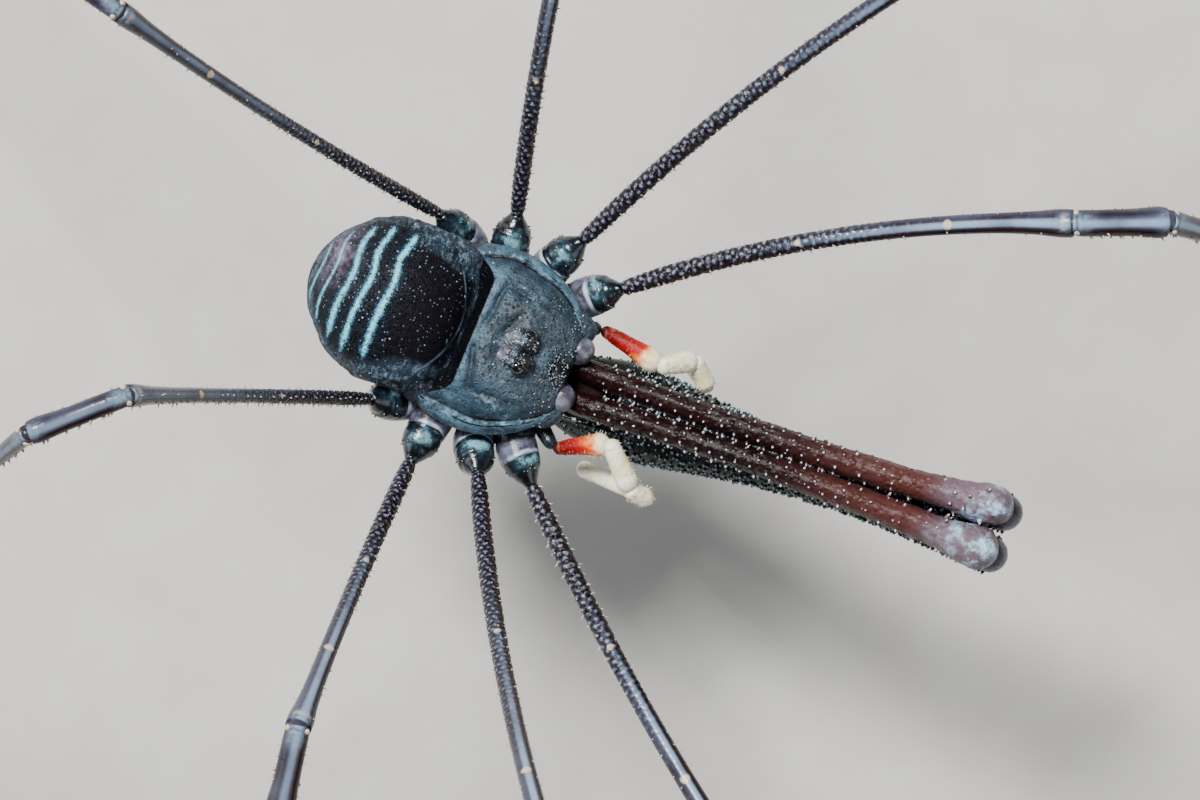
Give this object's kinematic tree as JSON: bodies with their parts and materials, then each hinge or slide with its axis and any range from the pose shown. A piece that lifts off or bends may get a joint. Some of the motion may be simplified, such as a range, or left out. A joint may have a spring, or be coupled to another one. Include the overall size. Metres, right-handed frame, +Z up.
{
  "type": "harvestman",
  "caption": "Long-jawed harvestman standing on long bent legs, with spiny folded jaws, small pale palps, an eye mound and a striped domed abdomen.",
  "frame": {"origin": "on the floor, under the middle of the space that the legs take up", "axes": "+X towards the animal's head, +Y to its left, +Z up"},
  "size_m": [0.0724, 0.0855, 0.0209],
  "materials": {
    "carapace": "blue-black leathery cuticle, satin",
    "abdomen": "velvet black with pale turquoise cross stripes",
    "eye": "wet glossy black",
    "jaw": "dark red-brown, satin, with white-tipped denticles",
    "hand": "greenish black, glossy, densely granulate",
    "palp_femur": "red at the root to cream at the knee, waxy",
    "palp": "waxy cream white",
    "trochanter": "glossy blue-black",
    "leg": "purple-black, satin, with paler rings"
  },
  "bodies": {
    "root": {"carapace": "carapace", "abdomen": "abdomen", "eye_mound": "carapace", "eye_left": "eye", "eye_right": "eye", "chelicera_left_base": "jaw", "chelicera_left_hand": "hand", "chelicera_left_finger": "hand", "chelicera_right_base": "jaw", "chelicera_right_hand": "hand", "chelicera_right_finger": "hand", "palp_left_femur": "palp_femur", "palp_left_patella": "palp", "palp_left_tibia": "palp", "palp_left_tarsus": "palp", "palp_right_femur": "palp_femur", "palp_right_patella": "palp", "palp_right_tibia": "palp", "palp_right_tarsus": "palp", "leg_1_left_trochanter": "trochanter", "leg_1_left_femur": "leg", "leg_1_left_patella": "leg", "leg_1_left_tibia": "leg", "leg_1_left_foot": "leg", "leg_1_right_trochanter": "trochanter", "leg_1_right_femur": "leg", "leg_1_right_patella": "leg", "leg_1_right_tibia": "leg", "leg_1_right_foot": "leg", "leg_2_left_trochanter": "trochanter", "leg_2_left_femur": "leg", "leg_2_left_patella": "leg", "leg_2_left_tibia": "leg", "leg_2_left_foot": "leg", "leg_2_right_trochanter": "trochanter", "leg_2_right_femur": "leg", "leg_2_right_patella": "leg", "leg_2_right_tibia": "leg", "leg_2_right_foot": "leg", "leg_3_left_trochanter": "trochanter", "leg_3_left_femur": "leg", "leg_3_left_patella": "leg", "leg_3_left_tibia": "leg", "leg_3_left_foot": "leg", "leg_3_right_trochanter": "trochanter", "leg_3_right_femur": "leg", "leg_3_right_patella": "leg", "leg_3_right_tibia": "leg", "leg_3_right_foot": "leg", "leg_4_left_trochanter": "trochanter", "leg_4_left_femur": "leg", "leg_4_left_patella": "leg", "leg_4_left_tibia": "leg", "leg_4_left_foot": "leg", "leg_4_right_trochanter": "trochanter", "leg_4_right_femur": "leg", "leg_4_right_patella": "leg", "leg_4_right_tibia": "leg", "leg_4_right_foot": "leg"}
  },
  "joints": []
}
